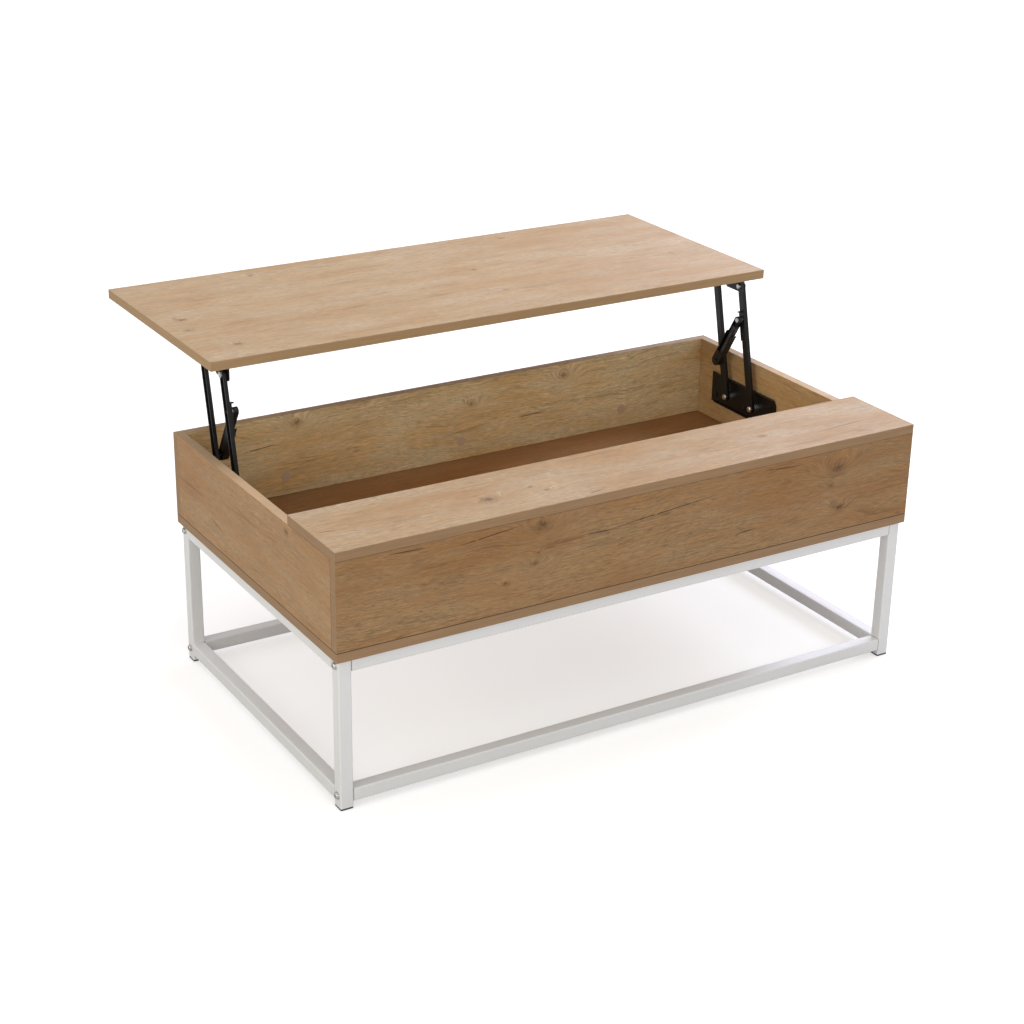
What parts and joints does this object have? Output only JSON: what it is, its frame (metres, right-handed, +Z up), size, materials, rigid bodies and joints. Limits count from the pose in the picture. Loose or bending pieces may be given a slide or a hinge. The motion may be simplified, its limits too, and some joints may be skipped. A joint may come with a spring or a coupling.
{
  "type": "lift top coffee table",
  "caption": "Rectangular coffee table: wood-laminate storage case on a square-tube frame, with a top that lifts and moves back on parallelogram arms beside a fixed strip.",
  "frame": {"origin": "on the floor, midway between the ends, and midway between the front of the case and the back edge of the raised top", "axes": "+X along the table towards its right end, +Y from the fixed strip towards the lifting top, +Z up; the stored pose has the top raised"},
  "size_m": [1, 0.802, 0.5453],
  "materials": {
    "oak_laminate": "satin laminate with printed oak grain",
    "dowel_beech": "plain beech",
    "white_frame": "satin white powder coat",
    "black_steel": "satin black powder coat on pressed steel",
    "zinc_steel": "bright zinc plate",
    "spring_steel": "blackened spring wire",
    "cap_plastic": "matt wood-coloured plastic",
    "glide_plastic": "matt dark plastic",
    "stop_rubber": "matt black rubber"
  },
  "bodies": {
    "case_and_frame": {"arm_stops": "stop_rubber", "back_panel": "oak_laminate", "base_bracket_screws": "black_steel", "base_pivots": "zinc_steel", "bottom_panel": "oak_laminate", "cam_bolts": "zinc_steel", "cam_cover_caps": "cap_plastic", "cam_discs": "zinc_steel", "case_screws": "zinc_steel", "fixed_top": "oak_laminate", "frame_bolt_washers": "zinc_steel", "frame_bolts": "zinc_steel", "front_left_leg": "white_frame", "front_lower_rail": "white_frame", "front_panel": "oak_laminate", "front_right_leg": "white_frame", "front_upper_rail": "white_frame", "left_base_bracket": "black_steel", "left_lower_rail": "white_frame", "left_panel": "oak_laminate", "left_upper_rail": "white_frame", "leg_glides": "glide_plastic", "panel_dowels": "dowel_beech", "rail_nut_plates": "zinc_steel", "rear_left_leg": "white_frame", "rear_lower_rail": "white_frame", "rear_right_leg": "white_frame", "rear_upper_rail": "white_frame", "right_base_bracket": "black_steel", "right_lower_rail": "white_frame", "right_panel": "oak_laminate", "right_upper_rail": "white_frame"},
    "left_front_arm": {"left_front_arm": "black_steel", "left_front_arm_doubler": "black_steel", "left_front_spring_pin": "zinc_steel"},
    "left_rear_arm": {"left_rear_arm": "black_steel", "left_rear_spring_pin": "black_steel"},
    "left_spring_housing": {"left_spring_housing": "black_steel"},
    "left_spring_slider": {"left_spring_slider": "black_steel", "left_spring": "spring_steel"},
    "right_front_arm": {"right_front_arm": "black_steel", "right_front_arm_doubler": "black_steel", "right_front_spring_pin": "zinc_steel"},
    "right_rear_arm": {"right_rear_arm": "black_steel", "right_rear_spring_pin": "black_steel"},
    "right_spring_housing": {"right_spring_housing": "black_steel"},
    "right_spring_slider": {"right_spring_slider": "black_steel", "right_spring": "spring_steel"},
    "lift_top": {"lift_top": "oak_laminate", "left_top_bracket": "black_steel", "right_top_bracket": "black_steel", "top_bracket_screws": "zinc_steel", "top_pivot_bolts": "zinc_steel", "top_pivot_nuts": "zinc_steel"}
  },
  "joints": [
    {"name": "lift", "type": "hinge", "parent": "case_and_frame", "child": "left_front_arm", "pos_m": [0, -0.03, 0.30983], "axis": [1, 0, 0], "range_deg": [0, 86]},
    {"name": "lift_top_level", "type": "hinge", "parent": "left_front_arm", "child": "lift_top", "pos_m": [0, 0.01625, 0.5153], "axis": [1, 0, 0], "range_deg": [-86, 0]},
    {"name": "right_front_arm_swing", "type": "hinge", "parent": "case_and_frame", "child": "right_front_arm", "pos_m": [0, -0.03, 0.30983], "axis": [1, 0, 0], "range_deg": [0, 86]},
    {"name": "left_rear_arm_swing", "type": "hinge", "parent": "case_and_frame", "child": "left_rear_arm", "pos_m": [0, 0.0405, 0.30983], "axis": [1, 0, 0], "range_deg": [0, 86]},
    {"name": "right_rear_arm_swing", "type": "hinge", "parent": "case_and_frame", "child": "right_rear_arm", "pos_m": [0, 0.0405, 0.30983], "axis": [1, 0, 0], "range_deg": [0, 86]},
    {"name": "left_spring_housing_turn", "type": "hinge", "parent": "left_rear_arm", "child": "left_spring_housing", "pos_m": [0, 0.05502, 0.37434], "axis": [1, 0, 0], "range_deg": [-36.91, 0]},
    {"name": "left_spring_slider_turn", "type": "hinge", "parent": "left_front_arm", "child": "left_spring_slider", "pos_m": [0, 0.00395, 0.46064], "axis": [1, 0, 0], "range_deg": [-36.91, 0], "deforming": ["left_spring"]},
    {"name": "right_spring_housing_turn", "type": "hinge", "parent": "right_rear_arm", "child": "right_spring_housing", "pos_m": [0, 0.05502, 0.37434], "axis": [1, 0, 0], "range_deg": [-36.91, 0]},
    {"name": "right_spring_slider_turn", "type": "hinge", "parent": "right_front_arm", "child": "right_spring_slider", "pos_m": [0, 0.00395, 0.46064], "axis": [1, 0, 0], "range_deg": [-36.91, 0], "deforming": ["right_spring"]}
  ],
  "couplings": [
    {"joint": "lift_top_level", "follows": "lift", "ratio": -1},
    {"joint": "right_front_arm_swing", "follows": "lift", "ratio": 1},
    {"joint": "left_rear_arm_swing", "follows": "lift", "ratio": 1},
    {"joint": "right_rear_arm_swing", "follows": "lift", "ratio": 1},
    {"joint": "left_spring_housing_turn", "follows": "lift", "ratio": -0.41756},
    {"joint": "left_spring_slider_turn", "follows": "lift", "ratio": -0.41756},
    {"joint": "right_spring_housing_turn", "follows": "lift", "ratio": -0.41756},
    {"joint": "right_spring_slider_turn", "follows": "lift", "ratio": -0.41756}
  ]
}
